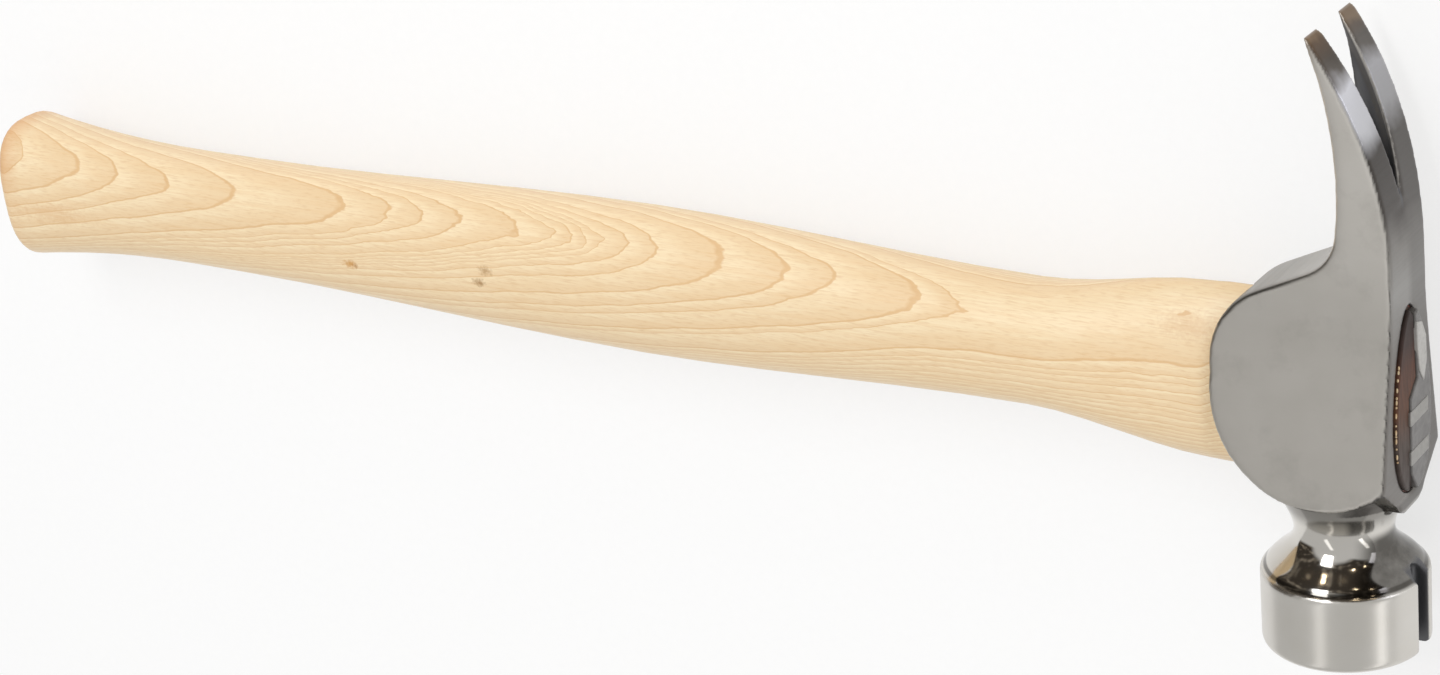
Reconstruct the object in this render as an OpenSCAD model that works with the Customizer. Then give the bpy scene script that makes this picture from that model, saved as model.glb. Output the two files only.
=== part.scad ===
// Framing hammer: a forged steel head wedged on a wooden handle.
// Millimetres. The hammer lies on its side: +X runs along the handle to the top of the head,
// +Y to the claw and +Z up. The origin is under the middle of the hammer's box.
// Inside the modules x, y and z start where the handle's axis crosses the axis of the bell.

/* [Poll] */
// Diameter of the bell, the thick round end that strikes
bell_d = 38.3; // [35:0.1:42]
// Distance from the handle's axis to the striking face
face_drop = 62.9; // [60:0.1:70]
// Length of the bell's straight side, from the face to the bead
bell_len = 18; // [14:0.1:20]
// Width of the bevel round the striking face
face_bevel = 1.1; // [0.5:0.1:2]
// Height of the small bead between the bell's side and its shoulder
bead_h = 0.7; // [0.4:0.1:1.5]
// Diameter of the neck where it is thinnest
neck_d = 22.5; // [19:0.1:26]
// Length of the rounded shoulder, from the bead to the neck
shoulder_len = 9.2; // [7:0.1:11]

/* [Cheeks] */
// Radius of the round cheek
cheek_r = 25.5; // [24:0.1:28]
// Thickness of the head across the cheeks at the handle's axis
cheek_t = 26.4; // [25:0.1:30]
// Lean of each cheek, thicker towards the bell
cheek_lean = 10; // [7:0.5:12]
// Distance from the axis of the bell to the flat top of the eye
eye_face_x = 16.4; // [14.5:0.1:18]
// Angle of the ramp from the handle up to the claw
ramp_angle = 25; // [20:1:34]
// How far the ramp stands outside the round of the cheek
ramp_lift = 1.1; // [0.2:0.1:2.5]
// Radius of the corner between cheek and ramp
ramp_corner = 18; // [14:0.5:20]
// Radius of the hollow between ramp and claw
ramp_fillet = 11.8; // [6:0.1:14]

/* [Claw] */
// Distance from the handle's axis to the claw's tips
claw_rise = 84.9; // [80:0.1:90]
// Radius of the claw's outer curve
claw_outer_r = 94.5; // [90:0.5:120]
// Thickness of the claw at its root
claw_root_t = 12.4; // [11:0.1:13]
// Thickness of the claw at its tips
claw_tip_t = 0.7; // [0.5:0.1:2]
// Height of the bevel ground across the tips on the outer curve
claw_tip_bevel = 0.8; // [0.3:0.1:2]
// Width of the claw at its root
claw_root_w = 19.3; // [18:0.1:21]
// Width of the claw at its tips
claw_tip_w = 25.6; // [23:0.1:28]
// Length of the nail slot
slot_len = 40.5; // [32:0.5:44]
// Width of the nail slot between the tips
slot_w = 10.7; // [8:0.1:12]

/* [Eye] */
// Length of the eye, along the head
eye_len = 44.5; // [42:0.1:46]
// Width of the eye, across the head
eye_w = 18.9; // [16:0.1:19.5]
// Wall of the eye below the tenon, towards the bell
eye_lip = 4; // [3:0.1:5]
// Thickness of the bonding resin round the tenon
resin_thickness = 0.35; // [0.25:0.05:0.6]
// Depth of the handle's end below the top of the eye
end_recess = 1; // [0.5:0.1:2]

/* [Handle] */
// Distance from the axis of the bell to the middle of the butt's end
handle_reach = 387.4; // [350:0.1:430]
// Depth of the butt
butt_depth = 40; // [36:0.1:44]
// Thickness of the butt
butt_w = 29.8; // [26:0.1:34]
// Depth of the waist above the butt
waist_depth = 30.6; // [28:0.1:34]
// Thickness of the waist
waist_w = 24.6; // [22:0.1:28]
// Depth of the belly, the middle swell
belly_depth = 37.6; // [34:0.1:41]
// Thickness of the belly
belly_w = 27.6; // [25:0.1:32]
// Depth of the throat behind the head
throat_depth = 30.2; // [27:0.1:34]
// Thickness of the throat
throat_w = 24.4; // [22:0.1:28]
// How much less deep than the eye the handle is where it meets the head
shoulder_relief = 1.6; // [1:0.1:4]
// How much thicker than the eye the shoulder is that stops against the head
shoulder_ledge = 1.5; // [0.8:0.1:3]
// Radius of the rounded edge of the butt
butt_round = 3.5; // [2:0.5:8]
// Rise of the butt above the handle's axis
butt_rise = 1.5; // [0:0.1:4]
// Slant of the butt's end, longer on the claw's side
butt_slant = 2; // [0:0.5:6]

/* [Wedges] */
// Depth of the wood wedge in the tenon
wood_wedge_len = 28; // [24:0.5:32]
// Thickness of the wood wedge at its head
wood_wedge_t = 3.5; // [2.5:0.1:4.5]
// Length of the steel wedges
steel_wedge_len = 20; // [15:0.5:22]
// Width of the steel wedges
steel_wedge_w = 10.2; // [8:0.1:11]
// Thickness of the steel wedges at their heads
steel_wedge_t = 3.5; // [2.5:0.1:4]
// Height of the steel wedges above the top of the eye
wedge_proud = 1.2; // [0.2:0.1:2]
// Thickness of the sharp end of every wedge
wedge_tip_t = 0.7; // [0.5:0.05:1]

/* [Nail starter] */
// Width of the groove that holds a nail
groove_w = 6; // [5:0.1:7]
// Depth of the groove in the bell
groove_depth = 4.3; // [4:0.1:5]
// Diameter of the magnet in the groove
magnet_d = 4.8; // [3.5:0.1:4.9]
// Thickness of the magnet
magnet_t = 3; // [2:0.1:4]

/* [Fits] */
// Clearance round every fitted piece
fit_gap = 0.05; // [0.03:0.01:0.1]

/* [Hidden] */

// Overrun of every cut
over = 2;
// Degrees in a full turn
turn = 360;
// Points round the eye and the handle
ring_sides = 40;
// Steps along each curve and round each small edge
curve_steps = 22;
round_steps = 5;
// Facets of turned and drilled shapes
$fn = 96;

// Middle of the cheek, and height of the middle of the eye, from the crossing of the axes
cheek_mid = [-0.6, 1.6];
eye_mid_y = -1;
// Share by which the eye narrows towards the claw
eye_taper_share = 0.25;
// The steel wedges stand a little towards the lower cheek.
// Their places below the middle of the eye are shares of its length.
steel_wedge_z = -2;
steel_wedge_shares = [0.083, 0.297];
// Heights where the claw's outer and inner curves run straight along the head
claw_outer_y = 30.8;
claw_inner_y = 52.3;
// Softness of the bend between the leaning cheek and the flaring claw
cheek_blend = 1.2;

bell_r = bell_d / 2;
neck_r = neck_d / 2;
claw_root_x = eye_face_x - claw_root_t;
groove_floor_x = bell_r - groove_depth;
tenon_end_x = eye_face_x - end_recess;
wedge_top_x = eye_face_x + wedge_proud;

function mix(a, b, t) = a + (b - a) * t;
function ease(t) = let(u = min(max(t, 0), 1)) u * u * (3 - 2 * u);
function signed_power(v, p) = sign(v) * pow(abs(v), p);
// Points of an arc about a middle, from one angle to another
function arc(mid, r, a0, a1, steps) =
    [for (i = [0:steps]) let(a = mix(a0, a1, i / steps)) mid + r * [cos(a), sin(a)]];
// Points of a cubic curve with two handles
function curve(p0, p1, p2, p3, steps) = [for (i = [0:steps]) let(t = i / steps, u = 1 - t)
    u * u * u * p0 + 3 * u * u * t * p1 + 3 * u * t * t * p2 + t * t * t * p3];
// Drops points that repeat the one before them
function distinct(points) =
    [for (i = [0:len(points) - 1]) if (i == 0 || norm(points[i] - points[i - 1]) > fit_gap) points[i]];

// Half thickness of the head at a height y: the leaning cheek and the flaring claw, run together
function cheek_half(y) = cheek_t / 2 - y * tan(cheek_lean);
function claw_half(y) =
    mix(claw_root_w, claw_tip_w, ease((y - claw_outer_y) / (claw_rise - claw_outer_y))) / 2;
function half_t(y) = let(a = cheek_half(y), b = claw_half(y))
    (a + b + sqrt((a - b) * (a - b) + cheek_blend * cheek_blend)) / 2;

// Side view of cheeks, ramp and claw

// The ramp's corner touches the ramp and bulges past the round cheek
ramp_reach = cheek_r + ramp_lift;
ramp_along = [cos(ramp_angle), sin(ramp_angle)];
ramp_normal = [-sin(ramp_angle), cos(ramp_angle)];
corner_mid = cheek_mid + (ramp_reach - ramp_corner) * ramp_normal - ramp_corner / 4 * ramp_along;
// Where the corner and the cheek cross on the handle's side
corner_dir = corner_mid - cheek_mid;
corner_gap = norm(corner_dir);
corner_swing = acos((cheek_r * cheek_r + corner_gap * corner_gap - ramp_corner * ramp_corner)
    / (2 * cheek_r * corner_gap));
cheek_to_corner = atan2(corner_dir[1], corner_dir[0]) + corner_swing - turn;
crossing = cheek_mid + cheek_r * [cos(cheek_to_corner), sin(cheek_to_corner)] - corner_mid;
corner_start = (atan2(crossing[1], crossing[0]) + turn) % turn;
cheek_end = -acos((eye_face_x - cheek_mid[0]) / cheek_r);

// The claw's outer curve, and an inner curve that leaves the tips their thickness
claw_outer_mid = [eye_face_x - claw_outer_r, claw_outer_y];
tip_outer = asin((claw_rise - claw_outer_y) / claw_outer_r);
inner_drop = claw_root_x - claw_outer_mid[0] - claw_outer_r * cos(tip_outer) + claw_tip_t;
inner_rise = claw_rise - claw_inner_y;
claw_inner_r = (inner_drop * inner_drop + inner_rise * inner_rise) / (2 * inner_drop);
tip_inner = asin(inner_rise / claw_inner_r);
bevel_start = asin((claw_rise - claw_tip_bevel - claw_outer_y) / claw_outer_r);

// The hollow touches the ramp and the claw's inner curve
claw_inner_mid = [claw_root_x - claw_inner_r, claw_inner_y];
hollow_from = cheek_mid + (ramp_reach + ramp_fillet) * ramp_normal - claw_inner_mid;
hollow_dot = hollow_from * ramp_along;
hollow_slide = sqrt(hollow_dot * hollow_dot - hollow_from * hollow_from
    + (claw_inner_r - ramp_fillet) * (claw_inner_r - ramp_fillet)) - hollow_dot;
hollow_dir = hollow_from + hollow_slide * ramp_along;
hollow_end = atan2(hollow_dir[1], hollow_dir[0]);

module head_side() {
    polygon(distinct(concat(
        arc(cheek_mid, cheek_r, cheek_end, cheek_to_corner, 3 * curve_steps),
        arc(corner_mid, ramp_corner, corner_start, ramp_angle + 90, curve_steps),
        arc(claw_inner_mid + hollow_dir, ramp_fillet, ramp_angle - 90, hollow_end, curve_steps),
        arc(claw_inner_mid, claw_inner_r, hollow_end, tip_inner, curve_steps),
        arc(claw_outer_mid, claw_outer_r, bevel_start, 0, curve_steps))));
}

// Front view of the head's thickness, from below the cheeks to past the tips
module head_front() {
    low_y = cheek_mid[1] - cheek_r - over;
    steps = 3 * curve_steps;
    ys = [for (i = [0:steps]) mix(low_y, claw_rise + over, i / steps)];
    polygon(concat(
        [for (y = ys) [y, half_t(y)]],
        [for (i = [steps:-1:0]) [ys[i], -half_t(ys[i])]]));
}

// Extrudes a (y, z) outline along x, from one x to another
module along_x(x0, x1) {
    translate([x0, 0, 0])
        rotate([90, 0, 90])
            linear_extrude(x1 - x0)
                children();
}

module cheeks_and_claw() {
    depth = 2 * max(half_t(cheek_mid[1] - cheek_r), claw_tip_w) + over;
    intersection() {
        translate([0, 0, -depth / 2])
            linear_extrude(depth)
                head_side();
        along_x(cheek_mid[0] - cheek_r - over, eye_face_x + over)
            head_front();
    }
}

// Turned bell and neck, about the head's own axis
module poll() {
    bead_y = bell_len - face_drop;
    dome_y = bead_y + bead_h;
    // The shoulder starts a little inside the bead
    dome_r = bell_r - 1.4 * bead_h;
    neck_y = dome_y + shoulder_len;
    waist = dome_r - neck_r;
    // The neck flares into the underside of the cheeks and ends inside them
    root_r = neck_r + shoulder_len / 2;
    root_y = neck_y + shoulder_len;
    inside_y = cheek_mid[1] - sqrt(cheek_r * cheek_r - root_r * root_r);
    rotate([-90, 0, 0])
        rotate_extrude()
            polygon(concat(
                [[0, -face_drop], [bell_r - face_bevel, -face_drop], [bell_r, face_bevel - face_drop]],
                arc([bell_r - bead_h, bead_y], bead_h, 0, 90, round_steps),
                curve([dome_r, dome_y], [dome_r - waist / 12, dome_y + shoulder_len * 0.29],
                      [neck_r + waist / 30, neck_y - shoulder_len * 0.49], [neck_r, neck_y], curve_steps),
                curve([neck_r, neck_y], [neck_r, neck_y + shoulder_len * 0.55],
                      [root_r, root_y], [root_r, inside_y], curve_steps),
                [[0, inside_y]]));
}

// Outline of the eye, less an inset all round
module eye_outline(inset) {
    polygon([for (i = [0:ring_sides - 1]) let(a = turn * i / ring_sides)
        [eye_mid_y + (eye_len / 2 - inset) * cos(a),
         (eye_w / 2 - inset) * sin(a) * (1 - eye_taper_share * cos(a))]]);
}

// Lip of the eye that stands out below the cheeks at the top of the head.
// Its outline narrows from the cheeks' corners to the bottom of the lip.
lip_height_shares = [-0.4, 0.02, 0.72, 0.88, 1];
lip_width_shares = [0.8, 0.97, 0.47, 0.4, 0.25];
module eye_lip_block() {
    top_y = cheek_mid[1] + cheek_r * sin(cheek_end);
    low_y = eye_mid_y - eye_len / 2 - eye_lip;
    last = len(lip_height_shares) - 1;
    side = [for (i = [0:last])
        [mix(top_y, low_y, lip_height_shares[i]), half_t(top_y) * lip_width_shares[i]]];
    along_x(eye_face_x / 2, eye_face_x)
        polygon(concat(side, [for (i = [last:-1:0]) [side[i][0], -side[i][1]]]));
}

// Slot that widens from its vertex to the tips
module nail_slot() {
    flare = slot_w / 2 * (slot_len + over) / slot_len;
    along_x(claw_root_x - claw_root_t, eye_face_x + over)
        polygon([[claw_rise - slot_len, 0], [claw_rise + over, flare], [claw_rise + over, -flare]]);
}

// Groove along the top of the bell, open at the face and round at the shoulder
module nail_groove() {
    end_y = bell_len - face_drop;
    along_x(groove_floor_x, bell_r + over) {
        translate([end_y, 0])
            circle(d = groove_w);
        translate([-face_drop - over, -groove_w / 2])
            square([end_y + face_drop + over, groove_w]);
    }
}

module magnet_shape(grow) {
    translate([groove_floor_x - magnet_t - grow, bell_len / 2 - face_drop, 0])
        rotate([0, 90, 0])
            cylinder(d = magnet_d + 2 * grow, h = magnet_t + grow);
}

// A wedge's taper down from its head, as x and thickness
module wedge_taper(top_x, length, head_t, grow) {
    tip_x = top_x - length - grow;
    head = head_t / 2 + grow;
    tip = wedge_tip_t / 2 + grow;
    polygon([[top_x, head], [top_x, -head], [tip_x, -tip], [tip_x, tip]]);
}

// The wood wedge stands in a kerf along the eye, its own thickness short of both ends
module wood_wedge_shape(grow) {
    span = eye_len - 2 * wood_wedge_t + 2 * grow;
    translate([0, eye_mid_y + span / 2, 0])
        rotate([90, 0, 0])
            linear_extrude(span)
                wedge_taper(tenon_end_x, wood_wedge_len, wood_wedge_t, grow);
}

module steel_wedge_shape(share, grow) {
    translate([0, eye_mid_y - eye_len * share, steel_wedge_z - steel_wedge_w / 2 - grow])
        linear_extrude(steel_wedge_w + 2 * grow)
            wedge_taper(wedge_top_x, steel_wedge_len, steel_wedge_t, grow);
}

module steel_wedge_slots() {
    for (share = steel_wedge_shares)
        steel_wedge_shape(share, fit_gap);
}

// Handle: rings from the butt to the end of the tenon

tenon_inset = resin_thickness + 2 * fit_gap;
tenon_depth = eye_len - 2 * tenon_inset;
tenon_w = eye_w - 2 * tenon_inset;
// Butt, waist from and to, belly, throat, shoulder, tenon from and to, as shares of the length from the butt
tenon_share = 0.935;
station_shares = [0, 0.155, 0.2, 0.53, 0.805, 0.922, tenon_share, 1];
depths = [butt_depth, waist_depth, waist_depth, belly_depth, throat_depth, eye_len - shoulder_relief,
          tenon_depth, tenon_depth];
widths = [butt_w, waist_w, waist_w, belly_w, throat_w, eye_w + shoulder_ledge, tenon_w, tenon_w];
// Squareness of each section, a plain oval at 2, and its taper towards the claw
squares = [2.7, 2.4, 2.4, 2.3, 2.3, 2, 2, 2];
taper_shares = [0, 0, 0, 0, 0, eye_taper_share, eye_taper_share, eye_taper_share];
rings_per_stretch = 6;

function stretch(s) = len([for (k = [1:len(station_shares) - 2]) if (s > station_shares[k]) k]);
// Each stretch leaves and meets its stations level, but the butt flares right to its end
function ease_out(t) = let(u = 1 - min(max(t, 0), 1)) 1 - u * u;
function along(list, s) = let(k = stretch(s), a = station_shares[k], b = station_shares[k + 1],
    t = (s - a) / (b - a))
    mix(list[k], list[k + 1], k == 0 ? ease_out(t) : ease(t));
function handle_ring(x, inset) = let(
    s = 1 + x / handle_reach,
    mid_y = mix(butt_rise, eye_mid_y, min(s / tenon_share, 1)),
    half_depth = along(depths, s) / 2 - inset,
    half_w = along(widths, s) / 2 - inset,
    power = 2 / along(squares, s),
    taper = along(taper_shares, s),
    slope = tan(butt_slant) * (1 - ease(s / station_shares[1])))
    [for (i = [0:ring_sides - 1]) let(a = turn * i / ring_sides, y = half_depth * signed_power(cos(a), power))
        [x - y * slope, mid_y + y, half_w * signed_power(sin(a), power) * (1 - taper * cos(a))]];

butt_rings = [for (i = [0:round_steps]) let(a = 90 * i / round_steps)
    handle_ring(butt_round * (1 - cos(a)) - handle_reach, butt_round * (1 - sin(a)))];
body_rings = [for (k = [0:len(station_shares) - 2], i = [1:rings_per_stretch])
    let(s = mix(station_shares[k], station_shares[k + 1], i / rings_per_stretch))
    if (s * handle_reach > 2 * butt_round) handle_ring((s - 1) * handle_reach, 0)];
handle_rings = concat(butt_rings, body_rings, [handle_ring(tenon_end_x, 0)]);

// Skin over a list of rings, with flat ends
module loft(rings) {
    n = len(rings[0]);
    last = len(rings) - 1;
    sides = [for (k = [0:last - 1], i = [0:n - 1]) let(a = k * n + i, b = k * n + (i + 1) % n)
        each [[a, a + n, b], [b, a + n, b + n]]];
    first_end = [for (i = [0:n - 1]) i];
    last_end = [for (i = [n - 1:-1:0]) last * n + i];
    polyhedron(points = [for (r = rings) each r], faces = concat([first_end, last_end], sides));
}

// Lays the hammer on its side over the origin
lowest = max(bell_r, half_t(cheek_mid[1] - cheek_r), claw_tip_w / 2, butt_w / 2, belly_w / 2);
butt_overhang = (butt_depth / 2 - butt_round) * tan(butt_slant);
module lay() {
    top_x = max(bell_r, wedge_top_x);
    translate([(handle_reach + butt_overhang - top_x) / 2, (face_drop - claw_rise) / 2, lowest])
        children();
}

module hammer_head() {
    color([0.66, 0.65, 0.62])
        lay()
            difference() {
                union() {
                    cheeks_and_claw();
                    poll();
                    eye_lip_block();
                }
                along_x(cheek_mid[0] - cheek_r - over, eye_face_x + over)
                    eye_outline(0);
                nail_slot();
                nail_groove();
                magnet_shape(fit_gap);
            }
}

module handle() {
    color([0.95, 0.84, 0.67])
        lay()
            difference() {
                loft(handle_rings);
                wood_wedge_shape(fit_gap);
                steel_wedge_slots();
            }
}

module wood_wedge() {
    color([0.42, 0.3, 0.22])
        lay()
            difference() {
                wood_wedge_shape(0);
                steel_wedge_slots();
            }
}

module steel_wedge_claw_side() {
    color([0.7, 0.7, 0.7])
        lay()
            steel_wedge_shape(steel_wedge_shares[0], 0);
}

module steel_wedge_poll_side() {
    color([0.7, 0.7, 0.7])
        lay()
            steel_wedge_shape(steel_wedge_shares[1], 0);
}

module eye_resin() {
    color([0.45, 0.2, 0.16])
        lay()
            along_x(0, tenon_end_x)
                difference() {
                    eye_outline(fit_gap);
                    eye_outline(resin_thickness + fit_gap);
                }
}

module nail_magnet() {
    color([0.25, 0.25, 0.26])
        lay()
            magnet_shape(0);
}

hammer_head();
handle();
wood_wedge();
steel_wedge_claw_side();
steel_wedge_poll_side();
eye_resin();
nail_magnet();
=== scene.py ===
# %% [markdown]
# # A framing hammer
# A forged steel head sits on a pale wooden handle and is held there by wedges.
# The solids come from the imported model, in metres, and every piece below keeps their place.
# Blender's share is the look: soft ground edges, polished steel, lacquered wood and a small studio.

# %% Load the frame
import math

import bmesh
import bpy
from mathutils import Matrix, Vector, kdtree


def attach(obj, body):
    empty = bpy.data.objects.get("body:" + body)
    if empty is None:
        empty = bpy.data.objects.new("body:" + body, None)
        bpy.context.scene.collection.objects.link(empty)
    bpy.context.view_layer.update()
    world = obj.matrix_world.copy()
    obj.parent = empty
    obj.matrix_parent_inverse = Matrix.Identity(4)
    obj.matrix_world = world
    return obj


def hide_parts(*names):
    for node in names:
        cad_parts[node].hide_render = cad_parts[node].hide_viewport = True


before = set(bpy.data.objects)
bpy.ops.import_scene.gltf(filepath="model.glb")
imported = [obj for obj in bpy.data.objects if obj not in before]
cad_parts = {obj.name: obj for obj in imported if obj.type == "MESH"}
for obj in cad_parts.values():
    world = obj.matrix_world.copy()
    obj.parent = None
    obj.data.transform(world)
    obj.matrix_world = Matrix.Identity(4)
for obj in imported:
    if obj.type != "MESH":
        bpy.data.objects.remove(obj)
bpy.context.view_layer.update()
scene = bpy.context.scene
scene.view_settings.view_transform = "Standard"
print("solids:", sorted(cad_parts))

# %% [markdown]
# ## The camera
# The hammer lies on its side and the camera looks down on it from above the head.
# Three turns give the camera's direction: round the upright, up from level, and a small roll.
# A long lens from under a metre away keeps the perspective of the photograph.

# %% Camera
yaw, pitch, roll = 0.5969, 0.4023, -0.101
to_camera = Vector((math.sin(yaw) * math.cos(pitch), math.sin(pitch), math.cos(yaw) * math.cos(pitch)))
level = Vector((math.cos(yaw), 0, -math.sin(yaw)))
turned = Matrix.Rotation(roll, 3, to_camera)
right = turned @ level
up = turned @ to_camera.cross(level)
camera_data = bpy.data.cameras.new("camera")
camera_data.sensor_width = 36
camera_data.lens = 87.5
camera = bpy.data.objects.new("camera", camera_data)
camera.matrix_world = Matrix((right, up, to_camera)).transposed().to_4x4()
camera.location = (0.46715, 0.31393, 0.67611)
scene.collection.objects.link(camera)
scene.camera = camera
print("camera height above the floor:", round(camera.location.z, 3))

# %% [markdown]
# ## Two small helpers
# Colours are written as the hex values that a screen shows, and the renderer needs them linear.
# The node helper adds one node, sets it up and joins its inputs, so each finish reads top to bottom.

# %% Helpers
MM = 0.001


def linear(hex_colour):
    parts = [int(hex_colour[i:i + 2], 16) / 255 for i in (1, 3, 5)]
    return [c / 12.92 if c <= 0.04045 else ((c + 0.055) / 1.055) ** 2.4 for c in parts] + [1]


def node(tree, kind, settings=(), inputs=()):
    made = tree.nodes.new(kind)
    for name, value in dict(settings).items():
        setattr(made, name, value)
    for name, value in dict(inputs).items():
        if isinstance(value, bpy.types.NodeSocket):
            tree.links.new(value, made.inputs[name])
        else:
            made.inputs[name].default_value = value
    return made


print("the steel's grey in linear light:", [round(c, 3) for c in linear("#c9c6bf")])

# %% [markdown]
# ## The head's edges
# A drop-forged head has no knife-sharp edges: grinding and polishing leave every corner softly round.
# A bevel would stumble over the many small faces where neck, cheeks and claw meet.
# So a copy of the solid is remeshed finely and smoothed, which rounds edges and hollows alike.
# First all edges are noted, and apart from them those of the front rim, which are ground over most.

# %% Note the edges
shape = bmesh.new()
shape.from_mesh(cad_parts["hammer_head"].data)
bmesh.ops.remove_doubles(shape, verts=shape.verts, dist=0.002 * MM)
# Sizes of the head in millimetres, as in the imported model
axis_z = 19.15
claw_x, claw_y, claw_r = 106.31, 19.8, 94.5
slot_start_y, slot_length, slot_width = 33.4, 40.5, 10.7
tip_y = 73.9
bell_x = 184.413
mid_z = axis_z * MM
claw_centre = Vector((claw_x, claw_y)) * MM
sliver_share = 0.001
edge_points = []
rim_points = []
for edge in shape.edges:
    if not edge.is_manifold or edge.calc_face_angle(0) < math.radians(15):
        continue
    # A sliver of a face has no true direction, so it says nothing about an edge
    if min(face.calc_area() / face.calc_perimeter() ** 2 for face in edge.link_faces) < sliver_share:
        continue
    ends = [vert.co for vert in edge.verts]
    steps = max(1, round(edge.calc_length() / (0.5 * MM)))
    edge_run = [ends[0].lerp(ends[1], i / steps) for i in range(steps + 1)]
    edge_points += edge_run
    centre = (ends[0] + ends[1]) / 2
    leans = sorted(abs(face.normal.z) for face in edge.link_faces)
    at_back = centre.x > 199 * MM or (centre.xy - claw_centre).length > 93 * MM
    on_poll_or_slot = centre.y < -30 * MM or abs(centre.z - mid_z) < 8 * MM
    if leans[0] < 0.4 and leans[1] > 0.8 and not at_back and not on_poll_or_slot:
        rim_points += edge_run
print("points along all edges and along the rim:", len(edge_points), len(rim_points))

# %% Make the edges quick to search
def search_tree(points):
    tree = kdtree.KDTree(len(points))
    for i, point in enumerate(points):
        tree.insert(point, i)
    tree.balance()
    return tree


edge_tree = search_tree(edge_points)
rim_tree = search_tree(rim_points)
# A grid closes any slit that is narrower than its squares, so the slot's point is first cut deeper
for vert in shape.verts:
    if abs(vert.co.z - mid_z) < 0.3 * MM and abs(vert.co.y - slot_start_y * MM) < 0.3 * MM:
        vert.co.y -= 4 * MM
        print("slot point moved at x", round(vert.co.x / MM, 2))

# %% [markdown]
# ## The head's skin
# A very fine grid turns the solid into even small squares, and rounds of smoothing soften every edge.
# The fineness matters: a coarse grid would leave ripples along edges that cross it at a slant.

# %% Remesh and soften
head_mesh = bpy.data.meshes.new("forged_head")
shape.to_mesh(head_mesh)
shape.free()
head = bpy.data.objects.new("forged_head", head_mesh)
scene.collection.objects.link(head)
remesh = head.modifiers.new("fine grid", "REMESH")
remesh.mode = "VOXEL"
remesh.voxel_size = 0.3 * MM
soften = head.modifiers.new("soft edges", "SMOOTH")
soften.factor = 0.5
soften.iterations = 14
evaluated = head.evaluated_get(bpy.context.evaluated_depsgraph_get())
skin = bpy.data.meshes.new_from_object(evaluated)
head.modifiers.clear()
head.data = skin
print("squares on the head:", len(skin.polygons))

# %% [markdown]
# ## Ground rims and a nail slot with leaning walls
# The ramp's rim and the long edges of the claw are rounded further, by smoothing only near them.
# With no sharp edge left, a second and coarser grid keeps the shape with far fewer squares.
# The slot's walls lean outwards towards the inside of the claw, which is how it bites under a nail head.
# The lean is a small sideways shift that grows with the depth below the claw's outer curve.
# The corners of the tips are rounded in the same pass.

# %% Round the rims
group = head.vertex_groups.new(name="rims")
for vert in skin.vertices:
    near = rim_tree.find(vert.co)[2] / MM
    y = (vert.co / MM).y
    weight = min(max((3.2 - near) / 2, 0), 1)
    weight *= min(max((70 - y) / 8, 0), 1)
    if y < 6:
        weight *= 0.4
    if weight > 0:
        group.add([vert.index], weight, "REPLACE")
ground = head.modifiers.new("ground rims", "SMOOTH")
ground.factor = 0.5
ground.iterations = 80
ground.vertex_group = "rims"
even = head.modifiers.new("even grid", "REMESH")
even.mode = "VOXEL"
even.voxel_size = 0.5 * MM
evaluated = head.evaluated_get(bpy.context.evaluated_depsgraph_get())
skin = bpy.data.meshes.new_from_object(evaluated)
head.modifiers.clear()
head.vertex_groups.clear()
head.data = skin
print("squares after the second grid:", len(skin.polygons))

# %% Calm the broad faces
group = head.vertex_groups.new(name="broad")
for vert in skin.vertices:
    far = edge_tree.find(vert.co)[2] / MM
    if far > 1:
        group.add([vert.index], min((far - 1) / 2, 1), "REPLACE")
calm = head.modifiers.new("calm", "SMOOTH")
calm.factor = 0.5
calm.iterations = 26
calm.vertex_group = "broad"
settle = head.modifiers.new("settle", "SMOOTH")
settle.factor = 0.5
settle.iterations = 2
evaluated = head.evaluated_get(bpy.context.evaluated_depsgraph_get())
skin = bpy.data.meshes.new_from_object(evaluated)
head.modifiers.clear()
head.vertex_groups.clear()
head.data = skin
print("height of the head:", round(head.dimensions.z / MM, 2), "mm")

# %% Lean the slot's walls and round the tips
corner = 1.6
for vert in skin.vertices:
    x, y, z = vert.co / MM
    if y < 36:
        continue
    side = z - axis_z
    outer_x = claw_x + math.sqrt(claw_r ** 2 - (y - claw_y) ** 2)
    rise = min((y - 36) / 14, 1)
    depth = min(max((outer_x - x) / 3, 0), 1)
    wall = slot_width / 2 * (y - slot_start_y) / slot_length
    beyond = abs(side) - wall
    if beyond < 5:
        side += math.copysign(1.6 * rise * depth * min(1 - beyond / 5, 1), side)
    for middle, outward in ((12.8 - corner, 1), (5.2 + corner, -1)):
        over = (abs(side) - middle) * outward
        past = y - tip_y + corner
        corner_reach = math.hypot(over, past)
        if over > 0 and past > 0 and corner_reach > corner:
            side = math.copysign(middle + outward * over * corner / corner_reach, side)
            vert.co.y = (tip_y - corner + past * corner / corner_reach) * MM
    vert.co.z = side * MM + mid_z
for face in skin.polygons:
    face.use_smooth = True
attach(head, "root")
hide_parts("hammer_head")
print("squares on the finished head:", len(skin.polygons))

# %% [markdown]
# ## Faces with painted reflections
# The back of the claw, the ramp over the handle and the edge between cheek and back each get
# painted reflections in their colour. A face's direction tells them apart; each point gets a share of each.

# %% Mark the faces
def share(value, none_at, full_at):
    return min(max((value - none_at) / (full_at - none_at), 0), 1)


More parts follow.
